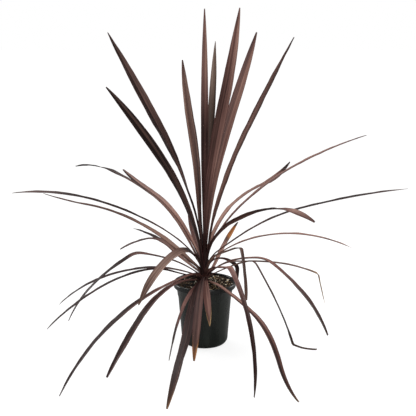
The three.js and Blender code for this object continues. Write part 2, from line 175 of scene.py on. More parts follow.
UPRIGHT_LEAVES = [
    Leaf(
        turn=176, seat=230, length=640, width=30, root=5, widest=0.54, tip=2.5, tint=0.7, painted_half_shade=-0.5,
        bend=((0, 89), (0.25, 71), (0.6, 62), (1, 62)),
        twist=((0, 0), (0.15, 20), (0.3, 7), (0.45, -24), (0.6, -44), (1, -44)),
        shade=((0, 0.05), (0.2, 0.1), (0.45, -0.2), (0.6, 0), (0.7, 0.2), (0.85, 0.2), (1, -0.1)),
    ),
    Leaf(
        turn=212, seat=217, length=555, width=24, widest=0.54, tip=3, tint=0.5, painted_half_shade=0.2,
        bend=((0, 84), (0.2, 71), (0.5, 58), (1, 47)),
        twist=((0, 0), (0.2, 35), (0.5, 38), (0.75, 75), (1, 75)),
        shade=((0, 0.1), (0.15, 0.15), (0.8, 0.15), (1, -0.05)),
    ),
    Leaf(
        turn=118, seat=247, length=515, width=25, tip=3.5, tint=0.6, painted_half_shade=0.2,
        bend=((0, 64), (0.1, 77), (0.3, 85), (0.65, 69), (1, 80)),
        shade=((0, 0.05), (0.3, 0.5), (0.6, 0.5), (0.9, 0.6), (1, 0.2)),
    ),
    Leaf(
        turn=90, seat=254, length=625, width=20, root=10, widest=0.45, tip=2.5, tint=0.85, painted_half_shade=-0.3,
        bend=((0, 87), (0.5, 84), (1, 86)),
        shade=((0, 0.2), (0.1, 0.5), (0.25, 0.3), (0.5, 0.1), (0.62, 0.4), (0.8, 0.65),
               (0.93, 0.65), (1, 0.3)),
    ),
    Leaf(
        turn=79, seat=231, length=580, width=20, widest=0.62, tint=0.2, painted_half_shade=0.15,
        bend=((0, 80), (0.3, 78), (0.65, 72), (1, 76)),
        shade=((0, 0.05), (0.3, 0.3), (0.5, 0.2), (0.66, 0.25), (0.85, 0.65), (1, 0.6)),
    ),
    Leaf(
        turn=297, seat=241, length=665, width=29, widest=0.55, tip=2.5, tint=0.85, painted_half_shade=0.4,
        bend=((0, 95), (0.3, 73), (0.65, 67), (1, 76)),
        twist=((0, 0), (0.3, -16), (1, -20)),
        shade=((0, 0.05), (0.3, 0.45), (0.6, 0.4), (0.75, 0.5), (0.92, 0.75), (1, 0.6)),
    ),
    Leaf(
        turn=44, seat=240, length=610, width=27, tip=3.5, tint=0.85, painted_half_shade=-0.4,
        bend=((0, 87), (0.3, 76), (0.65, 65), (1, 67)),
        twist=((0, 0), (0.3, 22), (0.5, 34), (1, 35)),
        shade=((0, 0.05), (0.3, 0.55), (0.9, 0.55), (1, 0.2)),
    ),
    Leaf(
        turn=5, seat=226, length=625, width=24, widest=0.56, tip=2.5, tint=0.7, painted_half_shade=0.3,
        bend=((0, 87), (0.25, 73), (0.6, 64), (1, 63)),
        twist=((0, 0), (0.25, 40), (0.5, 26), (1, 24)),
        shade=((0, 0.05), (0.3, 0.35), (0.6, 0.25), (0.9, 0.1), (1, 0)),
    ),
    Leaf(
        turn=103, seat=225, length=240, width=20, widest=0.45, tone="mauve", tint=0.9,
        bend=((0, 16), (0.3, 15), (1, 49)),
        shade=((0, 0.15), (0.5, 0.55), (1, 0.5)),
    ),
]

RIGHT_LEAVES = [
    Leaf(
        turn=62, seat=211, length=635, width=23, widest=0.57, tip=2.5, tone="mauve", tint=0.8, painted_half_shade=0.3,
        bend=((0, 89), (0.15, 37), (0.35, 13), (0.65, 0), (1, 21)),
        twist=((0, 0), (0.15, 18), (0.3, -9), (0.45, -20), (0.6, -10), (0.75, 9), (1, 35)),
        shade=((0, 0.5), (0.2, 0.75), (0.7, 0.6), (0.85, 0.4), (0.93, 0), (1, -0.2)),
    ),
    Leaf(
        turn=34, seat=223, length=665, width=17, root=5, tip=4, tone="mauve", tint=0.9, painted_half_shade=0.2,
        bend=((0, 83), (0.12, 48), (0.3, 32), (0.6, 18), (1, 9)),
        twist=((0, 0), (0.25, 3), (0.5, -6), (1, -6)),
        shade=((0, 0.5), (0.2, 0.5), (0.85, 0.45), (1, 0.3)),
    ),
    Leaf(
        turn=7, seat=216, length=590, width=18, root=5, widest=0.68, tone="mauve", tint=0.8,
        bend=((0, 74), (0.08, 35), (0.2, 33), (0.5, 13), (1, 5)),
        shade=((0, 0.5), (0.3, 0.3), (0.45, 0), (0.6, -0.5), (0.75, -0.3), (0.85, 0.1), (1, 0.2)),
    ),
    Leaf(
        turn=311, seat=220, length=460, width=24, widest=0.67, tip=5, tint=0.8, painted_half_shade=0.3,
        bend=((0, 89), (0.15, 53), (0.35, 31), (0.65, 18), (1, -19)),
        twist=((0, 0), (0.15, -20), (0.45, -23), (0.6, -13), (0.75, -11), (0.85, 12), (1, 35)),
        shade=((0, 0.1), (0.3, 0.35), (0.5, 0.45), (0.68, 0.1), (0.76, 0.25), (0.84, 0.65),
               (0.95, 0.25), (1, 0)),
    ),
    Leaf(
        turn=337, seat=208, length=425, width=16, root=5, widest=0.68, tint=0.85,
        bend=((0, 73), (0.12, 38), (0.3, 25), (0.6, 6), (1, -19)),
        twist=((0, 0), (0.25, 9), (0.5, -2), (1, -10)),
        shade=((0, 0.6), (0.2, 0.9), (1, 0.7)),
    ),
    Leaf(
        turn=58, seat=181, length=205, width=15, widest=0.62, tip=3, tone="dry",
        bend=((0, 16), (0.3, 45), (1, 28)),
        shade=((0, 0.5), (0.4, 0.9), (0.6, 0.8), (0.7, 0.5), (0.9, 0.4), (0.94, -0.2), (1, -0.5)),
        tint=0.85, dry=0.68, rust=1,
    ),
    Leaf(
        turn=306, seat=198, length=312, width=14, tip=6, tone="mauve", tint=0.5, painted_half_shade=0.2,
        bend=((0, 78), (0.25, 24), (0.5, 24), (0.57, 8), (0.595, -73), (1, -87)),
        twist=((0, 0), (0.5, -10), (0.75, -20), (1, 20)),
        shade=((0, 0.6), (0.3, 0.9), (0.5, 0.75), (0.58, 0.4), (0.65, 0.2), (0.8, 0.3), (1, 0.5)),
    ),
    Leaf(
        turn=337, seat=189, length=430, width=22, root=5, tip=6, tone="mauve", tint=1, painted_half_shade=0.4,
        bend=((0, 50), (0.2, 19), (0.36, 4), (0.46, -33), (0.7, -45), (1, -67)),
        twist=((0, 0), (0.5, -6), (0.75, 3), (1, 16)),
        shade=((0, 0.6), (0.2, 0.8), (0.4, 0.6), (0.55, 0.4), (0.7, 0.1), (1, -0.1)),
    ),
    Leaf(
        turn=27, seat=185, length=465, width=16, root=5, tone="dry", tint=0.6, dry=0.8, edge=0.2,
        bend=((0, 43), (0.2, -6), (0.45, -12), (0.79, -27), (0.81, -75), (1, -73)),
        twist=((0, 0), (0.3, -12), (0.5, 0), (0.75, 15), (1, 18)),
        shade=((0, 0.8), (0.5, 0.55), (1, 0.6)),
    ),
    Leaf(
        turn=322, seat=184, length=465, width=13, root=5, tip=5, tone="dry", tint=0.6, dry=0.9,
        bend=((0, 32), (0.2, 26), (0.33, 19), (0.38, -52), (0.6, -57), (0.84, -68), (0.86, -6), (1, 16)),
        twist=((0, 0), (0.25, -13), (0.5, -24), (0.75, -20), (1, 22)),
        shade=((0, 0.8), (0.3, 0.7), (0.4, 0.3), (0.7, 0), (1, -0.1)),
    ),
    Leaf(
        turn=286, seat=191, length=585, width=15, tip=3.5, tint=0.95, painted_half_shade=0.3,
        bend=((0, 36), (0.2, 15), (0.37, 16), (0.43, -15), (0.7, -49), (1, -108)),
        twist=((0, 0), (0.3, 4), (0.4, 30), (0.5, 62), (1, 62)),
        shade=((0, 0.5), (0.35, 0.6), (0.5, 0.4), (0.7, 0.15), (1, 0)),
    ),
    Leaf(
        turn=296, seat=173, length=520, width=13, tip=3, tone="mauve",
        bend=((0, 12), (0.2, -3), (0.45, -8), (0.55, -14), (0.8, -57), (1, -13)),
        twist=((0, 0), (0.25, 15), (0.5, 4), (0.75, 42), (1, 40)),
        shade=((0, 0.9), (0.4, 0.6), (0.5, 0.4), (0.8, 0.2), (1, 0.1)),
        tint=0.9, painted_half_shade=0.4, dry=0.97, rust=0.6,
    ),
    Leaf(
        turn=40, seat=201, length=170, width=14, tip=5, tint=0.9,
        bend=((0, 77), (0.28, -9), (0.7, -42), (0.79, -89), (1, -95)),
        twist=((0, 0), (0.35, -30), (0.7, -35), (1, 10)),
        shade=((0, 0.5), (0.5, 0.3), (0.7, -0.1), (1, 0.1)),
    ),
]

LEFT_LEAVES = [
    Leaf(
        turn=137, seat=205, length=600, width=16, tip=4, tone="mauve", tint=0.7, painted_half_shade=-0.3,
        bend=((0, 54), (0.2, 47), (0.45, 20), (0.7, 12), (1, -14)),
        twist=((0, 0), (0.3, 10), (0.6, 10), (0.72, -12), (0.82, 25), (1, 40)),
        shade=((0, 0.4), (0.2, 0.55), (0.4, 0.4), (0.5, 0.15), (0.6, 0.3), (0.75, -0.2), (1, -0.5)),
    ),
    Leaf(
        turn=127, seat=213, length=455, width=20, tip=4, tone="mauve", tint=0.85, painted_half_shade=-0.9,
        bend=((0, 55), (0.3, 34), (0.65, 12), (1, 21)),
        twist=((0, 0), (0.25, -32), (0.5, -9), (1, -25)),
        shade=((0, 0.3), (0.15, 0.8), (0.4, 0.65), (0.6, 0.5), (0.85, 0.3), (1, 0.1)),
    ),
    Leaf(
        turn=178, seat=204, length=565, width=18, root=5, widest=0.7, tip=2.5, tint=0.8,
        bend=((0, 78), (0.1, 46), (0.3, 29), (0.6, 16), (1, -6)),
        twist=((0, 0), (0.25, 7), (0.5, -3), (1, -12)),
        shade=((0, 0.6), (0.3, 0.3), (0.45, -0.3), (0.65, -0.4), (0.8, 0.1), (0.9, 0.2), (1, 0.1)),
    ),
    Leaf(
        turn=184, seat=197, length=470, width=20, root=10, widest=0.35, tip=2.5, tone="mauve",
        bend=((0, 48), (0.3, 37), (0.55, 25), (0.75, 12), (1, 20)),
        twist=((0, 0), (0.1, -75), (0.3, -26), (0.45, -5), (1, -3)),
        shade=((0, 0.5), (0.15, 0.85), (0.4, 0.65), (0.6, 0.2), (1, 0.1)),
        tint=0.6, painted_half_shade=-0.5,
    ),
    Leaf(
        turn=117, seat=193, length=490, width=16, tip=4.5, tint=0.7,
        bend=((0, 10), (0.5, 1), (1, -6)),
        shade=((0, 0.5), (0.3, 0.5), (0.5, 0.3), (0.7, -0.1), (1, -0.2)),
    ),
    Leaf(
        turn=130, seat=188, length=410, width=16, widest=0.64, tip=5.5, tone="mauve", tint=0.7,
        bend=((0, 12), (0.35, 22), (0.65, -19), (1, -28)),
        twist=((0, 0), (0.25, -15), (0.5, 1), (0.75, -25), (1, -45)),
        shade=((0, 0.5), (0.3, 0.65), (0.5, 0.4), (0.7, 0.15), (1, 0)),
    ),
    Leaf(
        turn=234, seat=194, length=330, width=28, widest=0.46, tip=3, tone="dry",
        bend=((0, 74), (0.25, 35), (0.36, 8), (0.46, -11), (1, -54)),
        twist=((0, 0), (0.15, 10), (0.28, -34), (0.38, -20), (0.55, 2), (1, -22)),
        shade=((0, 0), (0.24, 0), (0.3, 0.1), (0.37, 0.5), (0.5, 0.7), (0.7, 0.6), (0.85, 0.4), (1, 0.5)),
        tint=0.45, painted_half_shade=0.3, dry=0.985,
    ),
    Leaf(
        turn=183, seat=185, length=450, width=21, root=5, tip=4.5, tone="mauve", tint=0.8,
        bend=((0, 41), (0.2, 20), (0.38, 6), (0.46, -32), (0.7, -43), (1, -65)),
        twist=((0, 0), (0.3, 12), (0.45, -20), (0.6, -5), (1, -14)),
        shade=((0, 0.5), (0.44, 0.3), (0.5, -0.2), (0.65, -0.4), (0.8, -0.1), (1, -0.2)),
    ),
    Leaf(
        turn=155, seat=181, length=505, width=18, root=5, tip=3, tone="mauve", tint=0.85,
        bend=((0, 14), (0.35, -12), (0.7, -28), (1, -43)),
        twist=((0, 0), (0.25, -14), (0.5, -9), (1, -28)),
        shade=((0, 0.75), (0.2, 0.3), (0.35, 0), (0.6, 0), (0.8, -0.3), (1, -0.2)),
    ),
    Leaf(
        turn=193, seat=178, length=455, width=16, root=5, tip=4.5, tone="mauve", tint=0.8,
        bend=((0, 18), (0.2, 18), (0.35, -9), (0.6, -27), (1, -44)),
        twist=((0, 0), (0.25, -11), (0.5, 2), (1, -10)),
        shade=((0, 0.4), (0.2, 0), (0.5, -0.5), (0.65, 0), (0.85, -0.3), (1, -0.3)),
    ),
    Leaf(
        turn=230, seat=182, length=555, width=16, widest=0.58, tip=4.5, tint=0.8, painted_half_shade=0.4,
        bend=((0, 43), (0.1, -1), (0.4, -11), (0.7, -29), (1, -50)),
        twist=((0, 0), (0.5, -4), (0.75, 10), (1, 15)),
        shade=((0, 0.7), (0.3, 0.6), (0.5, 0.2), (0.65, -0.35), (1, -0.5)),
    ),
    Leaf(
        turn=238, seat=171, length=460, width=19, widest=0.62, tip=5.5, tone="mauve", tint=0.9, painted_half_shade=0.4,
        bend=((0, 25), (0.3, -1), (0.65, -34), (1, -42)),
        shade=((0, 0.6), (0.3, 0.5), (0.5, 0.25), (0.65, 0), (1, -0.1)),
    ),
]

FRONT_LEAVES = [
    Leaf(
        turn=290, seat=178, length=200, width=19, widest=0.55, tone="mauve",
        bend=((0, 22), (1, -67)),
        veer=((0, -23), (1, -8)),
        shade=((0, 0.1), (0.15, 0.3), (0.3, 0.45), (0.6, 0.55), (1, 0.75)),
        tint=0.9, painted_half_shade=0.3, dry=0.93, edge=0.4, rust=0.1,
    ),
    Leaf(
        turn=261, seat=184, length=365, width=20, widest=0.68, tip=4, tone="dry",
        bend=((0, 18), (1, -52)),
        twist=((0, 0), (0.25, 25), (0.5, 18), (1, 8)),
        veer=((0, 7), (1, 3)),
        shade=((0, 0), (0.2, 0.15), (0.4, 0.2), (0.6, 0.2), (1, 0.35)),
        tint=0.8, painted_half_shade=0.3, dry=0.925, edge=0.2, rust=0.6,
    ),
    Leaf(
        turn=247, seat=175, length=505, width=25, tip=4, tint=0.9, painted_half_shade=0.2, dry=0.975, edge=0.2,
        bend=((0, 18), (0.33, -22), (0.67, -17), (1, -44)),
        twist=((0, 0), (0.5, 12), (0.75, 24), (1, -10)),
        veer=((0, 12), (0.5, 18), (1, 5)),
        shade=((0, 0), (0.25, 0.05), (0.6, -0.1), (0.8, -0.1), (0.93, 0), (1, 0.2)),
    ),
    Leaf(
        turn=253, seat=168, length=320, width=16, widest=0.54, tip=2.5, tone="dry",
        bend=((0, 14), (0.3, -5), (0.6, -31), (1, -55)),
        twist=((0, 0), (0.25, -10), (0.5, 34), (1, 56)),
        shade=((0, 0.3), (0.3, 0.35), (0.5, 0.5), (0.68, 0.4), (0.78, -0.2), (1, -0.4)),
        tint=1, dry=0.98, edge=0.3,
    ),
]

LEAF_GROUPS = [
    ("upright_leaf", UPRIGHT_LEAVES),
    ("right_leaf", RIGHT_LEAVES),
    ("left_leaf", LEFT_LEAVES),
    ("front_leaf", FRONT_LEAVES),
]


# Helpers


def linear(red, green, blue):
    """A screen colour of 0 to 255 as Blender's linear colour."""
    parts = [value / 255 for value in (red, green, blue)]
    return [p / 12.92 if p <= 0.04045 else ((p + 0.055) / 1.055) ** 2.4 for p in parts] + [1.0]


def between(start, end, share):
    """What lies at a share of the way from start to end."""
    return start + (end - start) * share


def smoothstep(value, start, end):
    """A share that eases from 0 at start to 1 at end."""
    share = np.clip((value - start) / (end - start), 0, 1)
    return share * share * (3 - 2 * share)


def value_at(stations, share):
    """What (share, value) pairs give at a share of the length."""
    shares, values = zip(*stations)
    return np.interp(share, shares, values)


def unit(vectors):
    return vectors / np.linalg.norm(vectors, axis=-1, keepdims=True)


def spun(x, y, angle):
    """A place turned about the upright axis by an angle in radians."""
    return x * math.cos(angle) - y * math.sin(angle), x * math.sin(angle) + y * math.cos(angle)


# Colours

PINK = linear(114, 78, 72)
MAROON = linear(84, 42, 42)
PALE_SPOT = linear(176, 146, 138)
WILTED = linear(70, 50, 40)
STRAW = linear(206, 172, 126)
POT_DARK = linear(16, 20, 16)
POT_PALE = linear(32, 36, 31)
# Painted shade for the pot's lip
POT_LIP_SHADE = linear(9, 12, 10)
# Dust, with a painted sheen, for the pot's collar
POT_DUST_AND_SHEEN = linear(92, 100, 96)
BARK_DARK = linear(34, 25, 21)
BARK_LIGHT = linear(78, 58, 46)
BARK_FIBRE = linear(110, 86, 62)
CHIP_DARK = linear(18, 14, 11)
CHIP_LIGHT = linear(86, 66, 46)
GRIT_DARK = linear(190, 156, 104)
GRIT_LIGHT = linear(255, 250, 232)
FLOOR_GREY = linear(150, 150, 150)
WHITE = (1, 1, 1, 1)

# Runs of colour, from dark to light: living leaves, dry ones, and the grains of the soil
OLIVES = ((0, linear(27, 22, 20)), (0.5, linear(97, 82, 71)), (1, linear(162, 143, 127)))
PINKS = ((0, linear(41, 22, 20)), (0.5, PINK), (1, linear(180, 137, 124)))
TANS = ((0.1, WILTED), (0.5, linear(140, 110, 82)), (0.9, STRAW))
RUSTS = ((0.1, WILTED), (0.45, linear(178, 110, 56)), (0.9, STRAW))
SOIL_BLACK = linear(7, 5, 4)
SOIL_GRAINS = (
    (0, SOIL_BLACK),
    (0.5, linear(16, 12, 9)),
    (0.7, linear(48, 37, 26)),
    (0.83, linear(146, 116, 76)),
    (0.9, linear(240, 218, 170)),
    (0.98, linear(252, 246, 226)),
)

# How rough each tone of leaf is, and how glossy all are
LEAF_ROUGHNESS = {"bronze": 0.4, "mauve": 0.42, "dry": 0.5}
LEAF_GLOSS = 0.18


# Materials


class Surface:
    """A procedural material built node by node. Most methods return the socket that they make."""

    def __init__(self, name):
        self.material = bpy.data.materials.new(name)
        self.material.use_nodes = True
        self.tree = self.material.node_tree
        self.nodes = self.tree.nodes
        self.shader = self.nodes["Principled BSDF"]

    def fill(self, node, inputs):
        """Puts numbers or sockets into a node's inputs, but leaves out a None."""
        for key, value in inputs.items() if isinstance(inputs, dict) else enumerate(inputs):
            if isinstance(value, bpy.types.NodeSocket):
                self.tree.links.new(value, node.inputs[key])
            elif value is not None:
                node.inputs[key].default_value = value

    def add(self, kind, inputs=(), **settings):
        """Adds a node with its settings and inputs."""
        node = self.nodes.new(kind)
        for name, value in settings.items():
            setattr(node, name, value)
        self.fill(node, inputs)
        return node

    def attribute(self, name):
        node = self.add("ShaderNodeAttribute", attribute_type="GEOMETRY", attribute_name=name)
        return node.outputs["Vector"]

    def place(self):
        return self.add("ShaderNodeTexCoord").outputs["Object"]

    def parts(self, vector):
        return self.add("ShaderNodeSeparateXYZ", [vector]).outputs[:]

    def noise(self, vector, scale, detail, roughness=0.5):
        """Noise of one scale, or of a scale for each axis."""
        if isinstance(scale, tuple):
            stretched = self.add("ShaderNodeVectorMath", [vector, scale], operation="MULTIPLY")
            vector, scale = stretched.outputs[0], 1.0
        inputs = {"Vector": vector, "Scale": scale, "Detail": detail, "Roughness": roughness}
        return self.add("ShaderNodeTexNoise", inputs).outputs["Fac"]

    def grains(self, vector, scale):
        """One random number for each grain of a gritty surface."""
        node = self.add("ShaderNodeTexVoronoi", {"Vector": vector, "Scale": scale})
        return self.parts(node.outputs["Color"])[0]

    def math(self, operation, *values):
        return self.add("ShaderNodeMath", values, operation=operation).outputs[0]

    def vary(self, value, noise, reach):
        """A value that noise moves up and down, by half the reach at most."""
        return self.math("MULTIPLY_ADD", self.math("SUBTRACT", noise, 0.5), reach, value)

    def ease(self, value, start, end, low=0.0, high=1.0):
        """Runs smoothly from low to high while a value runs from start to end."""
        inputs = [value, start, end, low, high]
        return self.add("ShaderNodeMapRange", inputs, interpolation_type="SMOOTHSTEP").outputs[0]

    def ramp(self, value, stops):
        """A colour that runs through (place, colour) stops."""
        node = self.add("ShaderNodeValToRGB", [value])
        elements = node.color_ramp.elements
        for _ in range(len(stops) - len(elements)):
            elements.new(0.5)
        for element, (place, colour) in zip(elements, stops):
            element.position = place
            element.color = colour
        return node.outputs[0]

    def mix(self, share, first, second):
        inputs = {0: share, 6: first, 7: second}
        return self.add("ShaderNodeMix", inputs, data_type="RGBA").outputs[2]

    def bump(self, height, distance, strength, under=None):
        """Relief of a depth in metres, over the relief under it."""
        inputs = {"Height": height, "Distance": distance, "Strength": strength, "Normal": under}
        return self.add("ShaderNodeBump", inputs).outputs[0]

    def finish(self, colour, roughness, gloss, relief=None):
        """Joins the parts to the shader and returns the material."""
        self.fill(self.shader, {"Base Color": colour, "Roughness": roughness})
        self.fill(self.shader, {"Specular IOR Level": gloss, "Normal": relief})
        return self.material


def leaf_material(tone):
    """A strap leaf: dark to light along it, in its own tone and in painted shade and light, with veins, a
    maroon edge and dry straw.
    """
    surface = Surface("leaf_" + tone)
    blade = surface.attribute("blade")
    along = surface.parts(blade)[1]
    across, share, upper = surface.parts(surface.attribute("span"))
    shade, tint, painted_half_shade = surface.parts(surface.attribute("look"))
    straw_start, straw_edge, rust = surface.parts(surface.attribute("wear"))
    broad = surface.noise(blade, (60, 7, 1), 3)
    veins = surface.noise(blade, (1500, 4, 1), 2)
    ribs = surface.noise(blade, (310, 2.5, 1), 1)
    spots = surface.noise(blade, (300, 150, 1), 1)

    # How light it is: by its row of shade, its own tone with painted shade and light; one half painted
    # lighter than the other; streaks; a darker underside; and painted shade near the stem
    # Painted shade: one half of the blade lighter than the other, as light falls unevenly on the two
    # sides of its trough
    half = surface.math("MULTIPLY", surface.ease(across, -0.14, 0.14, -0.35, 0.35), painted_half_shade)
    light = surface.math("ADD", shade, half)
    for streaks, reach in ((broad, 0.6), (ribs, 1.0), (veins, 0.5)):
        light = surface.vary(light, streaks, reach)
    light = surface.math("SUBTRACT", light, surface.ease(upper, 0.6, 0.4, 0, 0.06))
    # Painted shade: darker towards the stem over the first 60 mm, where the crown lies in shadow
    light = surface.math("SUBTRACT", light, surface.ease(along, 0.06, 0.01, 0, 0.4))

    # The living blade, with pale spots, a pink midrib and a maroon edge
    colour = surface.mix(tint, surface.ramp(light, OLIVES), surface.ramp(light, PINKS))
    colour = surface.mix(surface.ease(spots, 0.74, 0.8, 0, 0.5), colour, PALE_SPOT)
    from_middle = surface.math("ABSOLUTE", across)
    colour = surface.mix(surface.ease(from_middle, 0.07, 0.02, 0, 0.3), colour, PINK)
    colour = surface.mix(surface.ease(from_middle, 0.86, 0.96, 0, 0.5), colour, MAROON)

    # The dry end: ragged, wilted before it turns to straw, and longer along the margins
    margin = surface.math("POWER", from_middle, 3.0)
    ragged = surface.vary(share, broad, 0.14)
    ragged = surface.math("MULTIPLY_ADD", margin, surface.math("MULTIPLY", straw_edge, 0.4), ragged)
    past_start = surface.math("SUBTRACT", ragged, straw_start)
    dried = surface.ease(past_start, -0.03, 0.05)
    straw = surface.mix(rust, surface.ramp(light, TANS), surface.ramp(light, RUSTS))
    colour = surface.mix(surface.ease(past_start, -0.14, 0.0, 0, 0.6), colour, WILTED)
    colour = surface.mix(dried, colour, straw)

    roughness = surface.math("MULTIPLY_ADD", broad, 0.16, LEAF_ROUGHNESS[tone])
    roughness = surface.math("MULTIPLY_ADD", dried, 0.25, roughness)
    relief = surface.bump(veins, 0.0002, 0.6, surface.bump(ribs, 0.0005, 0.5))
    return surface.finish(colour, roughness, LEAF_GLOSS, relief)


def pot_material():
    """Satin charcoal plastic, with faint upright streaks, a film of dust and a painted sheen on its
    collar, and painted shade on its lip.
    """
    surface = Surface("pot_plastic")
    place = surface.place()
    streaks = surface.noise(place, (60, 60, 5), 4)
    grain = surface.noise(place, 900, 2)
    scuffs = surface.noise(place, (26, 26, 9), 6, 0.7)
    height = surface.parts(place)[2]
    lip = surface.ease(height, 0.157, 0.161)
    # Dust and a painted sheen: most at the collar's top, and a little over the rest of the pot
    collar = surface.math("SUBTRACT", surface.ease(height, 0.125, 0.155, 0.15, 0.9), lip)
    dust_and_sheen_reach = surface.math("MAXIMUM", collar, 0.05)
    dust_and_sheen = surface.math("MULTIPLY", surface.ease(scuffs, 0.42, 0.7), dust_and_sheen_reach)
    colour = surface.mix(surface.ease(streaks, 0.3, 0.7), POT_DARK, POT_PALE)
    # Painted shade: the lip made near-black, against the light that falls on its round from above
    colour = surface.mix(lip, colour, POT_LIP_SHADE)
    # Dust and a painted sheen lighten the collar
    colour = surface.mix(surface.math("MULTIPLY", dust_and_sheen, 0.4), colour, POT_DUST_AND_SHEEN)
    roughness = surface.math("MULTIPLY_ADD", streaks, 0.2, 0.16)
    roughness = surface.math("MULTIPLY_ADD", dust_and_sheen, 0.3, roughness)
    relief = surface.bump(streaks, 0.001, 0.12, surface.bump(grain, 0.0001, 0.3))
    return surface.finish(colour, roughness, 0.5, relief)


def soil_material():
    """Dark potting mix: black-brown grains with golden and cream ones, more to the right, and darker to
    the left in painted shade where the leaves hang over it.
    """
    surface = Surface("potting_soil")
    place = surface.place()
    crumbs = surface.noise(place, 260, 6, 0.7)
    lumps = surface.noise(place, 60, 3)
    coarse = surface.grains(place, 215)
    fine = surface.grains(place, 480)
    # Painted shade: the grains darker to the left, under the leaves; more golden and cream ones to the
    # right
    to_right = surface.ease(surface.parts(place)[0], -0.05, 0.03, -0.45, -0.04)
    patch = surface.vary(to_right, lumps, 0.5)
    large = surface.ramp(surface.math("ADD", coarse, patch), SOIL_GRAINS)
    small = surface.ramp(surface.math("ADD", fine, patch), SOIL_GRAINS)
    colour = surface.mix(surface.ease(crumbs, 0.52, 0.62), large, small)
    colour = surface.mix(surface.ease(crumbs, 0.48, 0.38, 0, 0.9), colour, SOIL_BLACK)
    roughness = surface.ease(crumbs, 0.2, 0.8, 0.75, 1.0)
    return surface.finish(colour, roughness, 0.25, surface.bump(crumbs, 0.002, 0.8))


def chip_material(name, dark, light):
    """Bits in the mix, each in its own shade."""
    surface = Surface(name)
    shade = surface.parts(surface.attribute("shade"))[0]
    grain = surface.noise(surface.place(), (300, 900, 700), 3)
    tone = surface.math("MULTIPLY_ADD", grain, 0.5, surface.math("MULTIPLY", shade, 0.7))
    colour = surface.mix(surface.ease(tone, 0.15, 0.95), dark, light)
    return surface.finish(colour, 0.85, 0.25, surface.bump(grain, 0.0006, 0.6))


def stem_material():
    """Dark fibrous bark, ringed where old leaves fell."""
    surface = Surface("stem_bark")
    place = surface.place()
    rings = surface.noise(place, (30, 30, 420), 3)
    fibres = surface.noise(place, (700, 700, 40), 3)
    colour = surface.mix(surface.ease(rings, 0.35, 0.65), BARK_DARK, BARK_LIGHT)
    colour = surface.mix(surface.ease(fibres, 0.55, 0.75, 0, 0.6), colour, BARK_FIBRE)
    relief = surface.bump(rings, 0.001, 0.7, surface.bump(fibres, 0.0005, 0.5))
    return surface.finish(colour, 0.8, 0.3, relief)


def show_apart(tree, output, shown, lit):
    """Shows one shader to the camera, while the other lights everything else."""
    path = tree.nodes.new("ShaderNodeLightPath")
    choose = tree.nodes.new("ShaderNodeMixShader")
    tree.links.new(path.outputs["Is Camera Ray"], choose.inputs[0])
    tree.links.new(lit.outputs[0], choose.inputs[1])
    tree.links.new(shown.outputs[0], choose.inputs[2])
    tree.links.new(choose.outputs[0], tree.nodes[output].inputs["Surface"])


def floor_material():
    """White paper: bright to the camera with faint shadows, and dimmer in its light on the plant."""
    surface = Surface("floor_white")
    material = surface.finish(FLOOR_GREY, 0.9, 0.1)
    glow = surface.add("ShaderNodeEmission", {"Strength": FLOOR_GLOW})
    both = surface.add("ShaderNodeAddShader", [glow.outputs[0], surface.shader.outputs[0]])
    show_apart(surface.tree, "Material Output", both, surface.shader)
    return material


# Meshes


def smooth(mesh, sharp_angle):
    """Shades a mesh smooth, but for edges sharper than an angle."""
    mesh.shade_smooth()
    mesh.set_sharp_from_angle(angle=math.radians(sharp_angle))


def add_object(name, data):
    thing = bpy.data.objects.new(name, data)
    bpy.context.scene.collection.objects.link(thing)
    return thing


def make_mesh(name, points, faces, material, sharp_angle=40):
    """A smooth-shaded object from points in millimetres."""
    mesh = bpy.data.meshes.new(name)
    mesh.from_pydata((np.asarray(points) * MM).tolist(), [], faces)
    mesh.materials.append(material)
    smooth(mesh, sharp_angle)
    return add_object(name, mesh)


def add_vectors(piece, name, values):
    """Keeps three numbers for each point of a piece, which its material reads."""
    attribute = piece.data.attributes.new(name, "FLOAT_VECTOR", "POINT")
    attribute.data.foreach_set("vector", np.asarray(values, dtype=np.float32).ravel())


def seat(piece, slot, *nodes):
    """Puts a piece on the part's one body, in place of its plain solids. Its slot argument is not used.
    """
    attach(piece, "root")
    if nodes:
        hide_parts(*nodes)


def arc(centre_radius, centre_height, radius, start, end, steps):
    """Points on an arc in a turned profile, from one angle to another."""
    angles = np.radians(np.linspace(start, end, steps + 1))
    return [(centre_radius + radius * math.cos(a), centre_height + radius * math.sin(a)) for a in angles]


def turned_points(profile, sides):
    """A profile of (radius, height) turned about the pot's axis, one ring after another."""
    angles = np.arange(sides) * math.tau / sides
    return [(r * math.cos(a), r * math.sin(a), z) for r, z in profile for a in angles]


def ring_faces(rings, sides):
    """Faces between rings of points."""
    faces = []
    for low in range(0, (rings - 1) * sides, sides):
        high = low + sides
        for side in range(sides):
            other = (side + 1) % sides
            faces.append((low + side, low + other, high + other, high + side))
    return faces


def turned_faces(rings, sides):
    """Faces of a turned shape, with a flat one over each end."""
    last = (rings - 1) * sides
    return [*ring_faces(rings, sides), tuple(range(sides))[::-1], tuple(range(last, last + sides))]


# Pot


def inner_radius(height):
    """The pot's inner wall at a height, which the soil follows."""
    bottom = FOOT_RADIUS - POT_WALL
    top = COLLAR_TOP_RADIUS - COLLAR_STEP - POT_WALL
    return between(bottom, top, (height - FOOT_ROUND) / (POT_HEIGHT - FOOT_ROUND))


def flared_radius(height):
    """The wall inside the lip, which flares out from the inner wall to the lip's round."""
    bottom = POT_HEIGHT - LIP_DEPTH
    top = POT_HEIGHT - LIP_ROUND * 2
    share = (height - bottom) / (top - bottom)
    return between(inner_radius(bottom), LIP_RADIUS - LIP_ROUND * 2, share)


